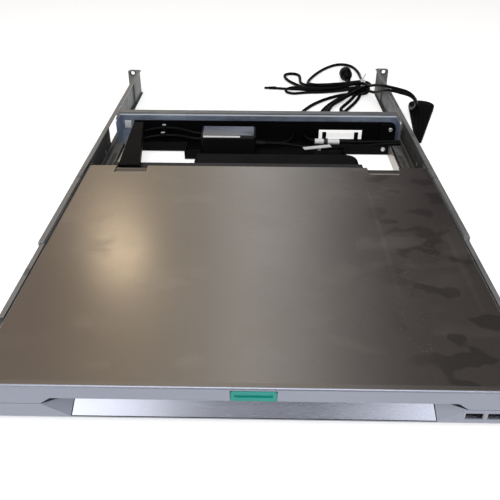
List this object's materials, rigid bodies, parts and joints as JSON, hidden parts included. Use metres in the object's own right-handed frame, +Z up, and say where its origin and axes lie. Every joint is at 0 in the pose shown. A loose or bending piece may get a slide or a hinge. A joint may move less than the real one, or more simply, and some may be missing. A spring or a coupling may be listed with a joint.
{
  "type": "rack console drawer with lcd monitor",
  "caption": "Flat rack-mount console drawer: an LCD monitor hinged as a lid over a keyboard and touchpad tray, on telescopic rails with rack ears and a rear cable bay.",
  "frame": {"origin": "middle of the tray pan's flat underside, on the surface that the drawer lies on", "axes": "+X to the right seen from the front, +Y to the back of the rack along the slide rails, +Z up"},
  "size_m": [0.5523, 0.9729, 0.0545],
  "materials": {
    "tray_black": "satin black powder coat",
    "bay_black": "satin black",
    "silver_front": "silver lacquer, fine satin",
    "brushed_insert": "brushed along its length",
    "socket_steel": "bright nickel",
    "deck_plastic": "fine grain",
    "key_plastic": "matt",
    "pad_plastic": "fine satin",
    "board_green": "solder mask",
    "lid_metal": "satin graphite metallic",
    "screen_frame": "matt",
    "screen": "anti-glare",
    "latch_teal": "teal, satin gloss",
    "hinge_grey": "warm grey",
    "pin_steel": "ground",
    "rail_steel": "zinc plated",
    "galvanised": "galvanised",
    "cord_black": "matt sheath",
    "brick_black": "fine grain",
    "tie_white": "nylon",
    "tie_wire": "coated wire",
    "sleeve_black": "woven sleeve",
    "rubber_pad": "matt"
  },
  "bodies": {
    "drawer": {"tray_pan": "tray_black", "front_bezel": "silver_front", "scoop_insert": "brushed_insert", "usb_ports": "socket_steel", "keyboard_deck": "deck_plastic", "keyboard_base": "deck_plastic", "touchpad": "pad_plastic", "main_board": "board_green", "hinge_tower_left": "hinge_grey", "hinge_tower_right": "hinge_grey", "side_channel_left": "hinge_grey", "side_channel_right": "hinge_grey", "inner_rail_left": "rail_steel", "inner_rail_right": "rail_steel", "rear_crossbar": "galvanised", "cable_shelf": "bay_black", "cable_arm": "bay_black", "harness_cover": "bay_black", "power_brick": "brick_black", "bay_cables": "cord_black", "cable_clips": "pin_steel", "bay_ties": "tie_white", "shelf_screws": "pin_steel", "cord_glands": "cord_black", "mains_feed": "cord_black", "mains_tail": "cord_black", "mains_eye": "cord_black", "signal_feed": "cord_black", "signal_upper": "cord_black", "signal_lower": "cord_black", "signal_tip": "cord_black", "hank_bundle": "cord_black", "hank_fan": "cord_black", "cord_tie": "tie_wire", "cord_sleeve": "sleeve_black", "mains_plug": "cord_black", "signal_plug": "cord_black"},
    "display": {"lid_shell": "lid_metal", "lid_fascia": "silver_front", "display_bezel": "screen_frame", "lcd_panel": "screen", "display_board": "board_green", "lid_bumpers": "rubber_pad", "hinge_leaf_left": "hinge_grey", "hinge_leaf_right": "hinge_grey", "hinge_pins": "pin_steel"},
    "latch": {"latch_button": "latch_teal"},
    "keys": {"keycaps": "key_plastic"},
    "pad_left": {"pad_button_left": "pad_plastic"},
    "pad_right": {"pad_button_right": "pad_plastic"},
    "menu_1": {"menu_button_1": "screen_frame"},
    "menu_2": {"menu_button_2": "screen_frame"},
    "menu_3": {"menu_button_3": "screen_frame"},
    "power": {"power_button": "screen_frame"},
    "left_mid": {"mid_rail_left": "rail_steel"},
    "left_outer": {"outer_rail_left": "rail_steel", "rear_ear_left": "rail_steel"},
    "right_mid": {"mid_rail_right": "rail_steel"},
    "right_outer": {"outer_rail_right": "rail_steel", "rear_ear_right": "rail_steel"}
  },
  "joints": [
    {"name": "lid_hinge", "type": "hinge", "parent": "drawer", "child": "display", "pos_m": [0, 0.181, 0.033], "axis": [-1, 0, 0], "range_deg": [0, 115]},
    {"name": "left_mid_slide", "type": "slide", "parent": "drawer", "child": "left_mid", "axis": [0, 1, 0], "range_m": [-0.066, 0.18]},
    {"name": "left_outer_slide", "type": "slide", "parent": "left_mid", "child": "left_outer", "axis": [0, 1, 0], "range_m": [-0.116, 0.1]},
    {"name": "right_mid_slide", "type": "slide", "parent": "drawer", "child": "right_mid", "axis": [0, 1, 0], "range_m": [-0.086, 0.16]},
    {"name": "right_outer_slide", "type": "slide", "parent": "right_mid", "child": "right_outer", "axis": [0, 1, 0], "range_m": [-0.116, 0.1]},
    {"name": "latch_press", "type": "slide", "parent": "display", "child": "latch", "axis": [0, 1, 0], "range_m": [0, 0.002], "stiffness_N_per_m": 800, "springref_m": -0.001},
    {"name": "keys_press", "type": "slide", "parent": "drawer", "child": "keys", "axis": [0, 0, -1], "range_m": [0, 0.0022], "stiffness_N_per_m": 3000, "springref_m": -0.002},
    {"name": "pad_left_press", "type": "slide", "parent": "drawer", "child": "pad_left", "axis": [0, 0, -1], "range_m": [0, 0.0012], "stiffness_N_per_m": 600, "springref_m": -0.001},
    {"name": "pad_right_press", "type": "slide", "parent": "drawer", "child": "pad_right", "axis": [0, 0, -1], "range_m": [0, 0.0012], "stiffness_N_per_m": 600, "springref_m": -0.001},
    {"name": "menu_1_press", "type": "slide", "parent": "display", "child": "menu_1", "axis": [0, 0, 1], "range_m": [0, 0.0008], "stiffness_N_per_m": 500, "springref_m": -0.0006},
    {"name": "menu_2_press", "type": "slide", "parent": "display", "child": "menu_2", "axis": [0, 0, 1], "range_m": [0, 0.0008], "stiffness_N_per_m": 500, "springref_m": -0.0006},
    {"name": "menu_3_press", "type": "slide", "parent": "display", "child": "menu_3", "axis": [0, 0, 1], "range_m": [0, 0.0008], "stiffness_N_per_m": 500, "springref_m": -0.0006},
    {"name": "power_press", "type": "slide", "parent": "display", "child": "power", "axis": [0, 0, 1], "range_m": [0, 0.0008], "stiffness_N_per_m": 500, "springref_m": -0.0006}
  ]
}
